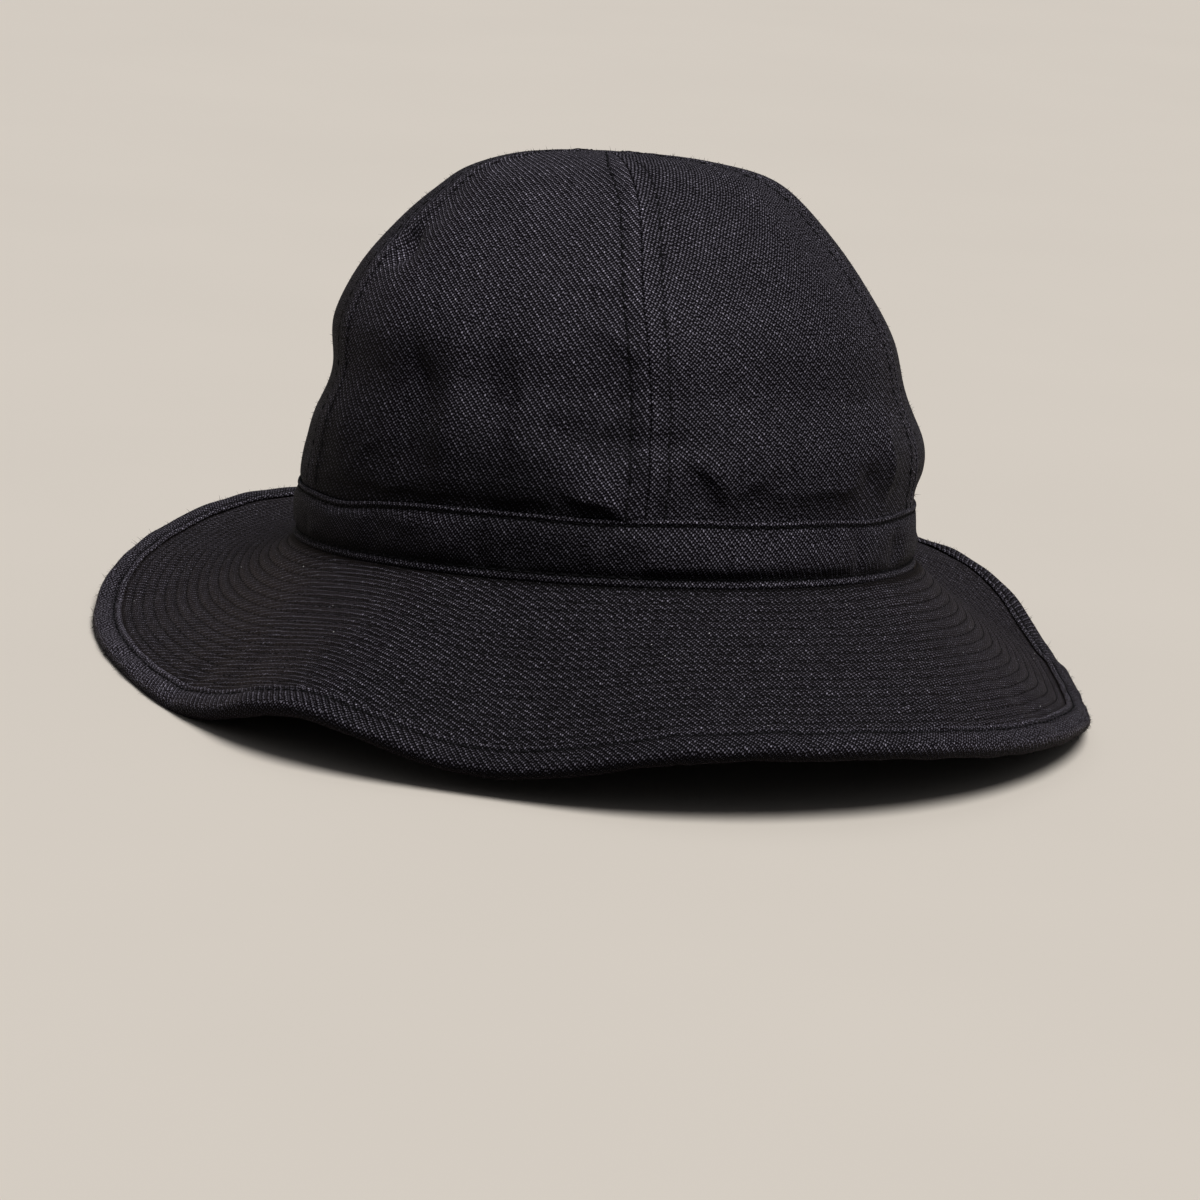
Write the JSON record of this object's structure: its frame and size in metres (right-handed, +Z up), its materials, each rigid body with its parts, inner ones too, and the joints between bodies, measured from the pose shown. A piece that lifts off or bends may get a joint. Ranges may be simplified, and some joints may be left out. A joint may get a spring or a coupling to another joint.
{
  "type": "fatigue hat",
  "caption": "Soft denim hat with a gored crown, a narrow sewn band and a wide stitched brim with a bound edge, resting on its brim.",
  "frame": {"origin": "on the surface that the hat rests on, under the middle of its bounding box", "axes": "+Z up from that surface, -Y towards the front of the hat, +X to the right as seen from the front"},
  "size_m": [0.2848, 0.3222, 0.1497],
  "materials": {
    "crown_denim": "black twill denim with a faint grey-violet cast",
    "band_denim": "black twill denim",
    "brim_denim": "black twill denim stitched through in close rows",
    "binding_denim": "black twill denim strip folded over the edge"
  },
  "bodies": {
    "root": {"crown_front_right": "crown_denim", "crown_side_right": "crown_denim", "crown_back": "crown_denim", "crown_side_left": "crown_denim", "crown_front_left": "crown_denim", "hat_band": "band_denim", "brim": "brim_denim", "brim_binding": "binding_denim"}
  },
  "joints": []
}
